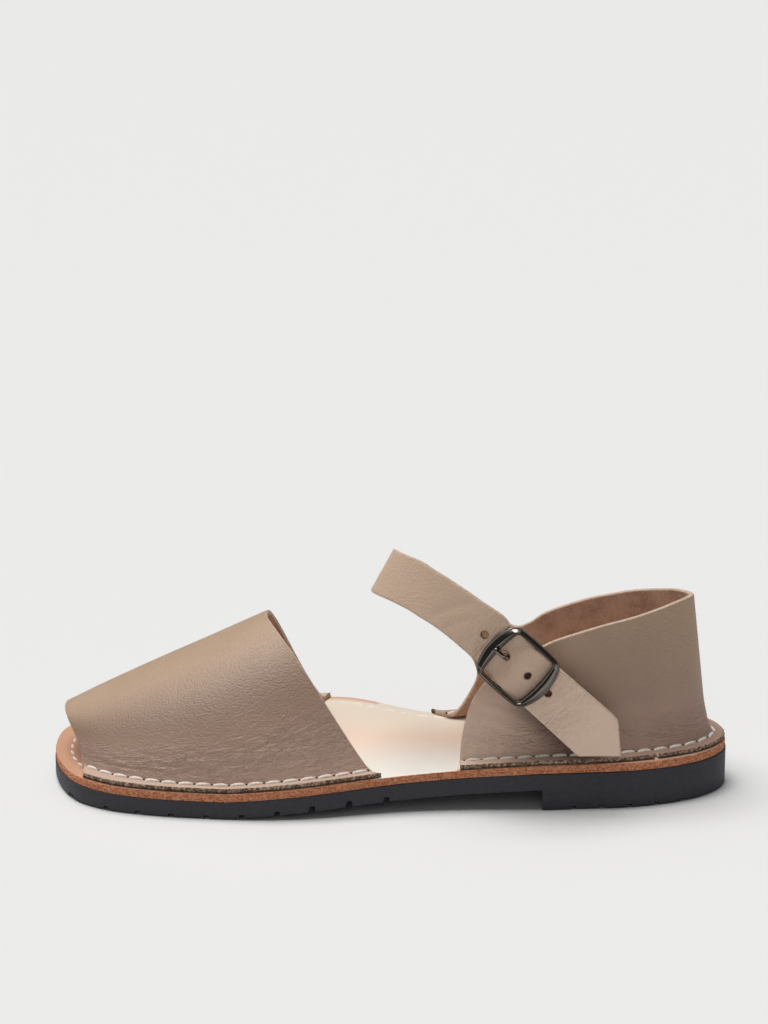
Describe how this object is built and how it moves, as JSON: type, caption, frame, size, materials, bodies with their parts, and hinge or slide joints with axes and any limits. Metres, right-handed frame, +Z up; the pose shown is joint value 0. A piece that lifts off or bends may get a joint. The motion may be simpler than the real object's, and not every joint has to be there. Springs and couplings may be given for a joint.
{
  "type": "frailera sandal",
  "caption": "Flat leather sandal with an open-toed vamp band, a closed heel quarter, and an ankle strap that crosses the instep to a side buckle, on a lugged rubber sole.",
  "frame": {"origin": "on the floor under the middle of the heel seat, on a flat lug of the heel", "axes": "+X towards the heel (the toe points to -X), +Y towards the inner side of the foot, +Z up"},
  "size_m": [0.252, 0.0951, 0.0907],
  "materials": {
    "rubber": "matte moulded near-black rubber",
    "insole": "natural vegetable-tanned leather, smooth, with fibrous orange-brown edge",
    "upper": "taupe full-grain leather, fine grain, low sheen, unlined rust-brown flesh side",
    "metal": "gunmetal plating, antiqued",
    "thread": "thick waxed off-white thread"
  },
  "bodies": {
    "root": {"outsole": "rubber", "insole": "insole", "vamp": "upper", "quarter": "upper", "buckle_frame": "metal", "buckle_prong": "metal", "buckle_tab": "upper"}
  },
  "joints": []
}
